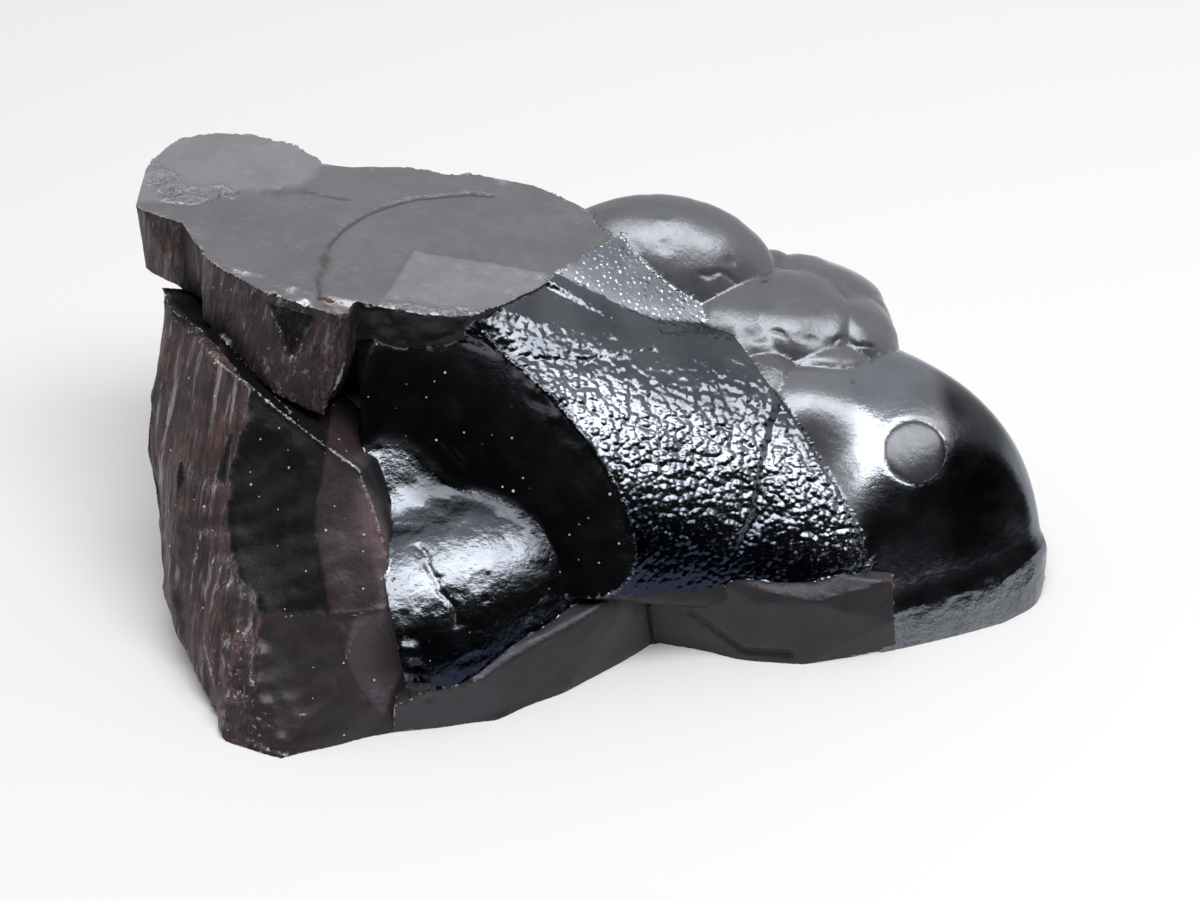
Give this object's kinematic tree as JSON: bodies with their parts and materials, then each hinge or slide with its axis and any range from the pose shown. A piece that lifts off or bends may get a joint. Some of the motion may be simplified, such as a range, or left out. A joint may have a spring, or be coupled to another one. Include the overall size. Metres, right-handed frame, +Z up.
{
  "type": "raw hematite",
  "caption": "Broken hand specimen of kidney ore: smooth dark metallic lobes, a flat top plate and broken walls, lying on its flat base.",
  "frame": {"origin": "middle of the footprint, at the height of the flat base the stone lies on", "axes": "+X along the longest side, from the high plate end to the big kidney; +Z up out of the base; +Y away from the side with the shiny lobes"},
  "size_m": [0.0928, 0.0576, 0.036],
  "materials": {
    "hematite": "polished to satin grey-black metallic lustre, brown and dull on the broken sides"
  },
  "bodies": {
    "root": {"hematite": "hematite"}
  },
  "joints": []
}
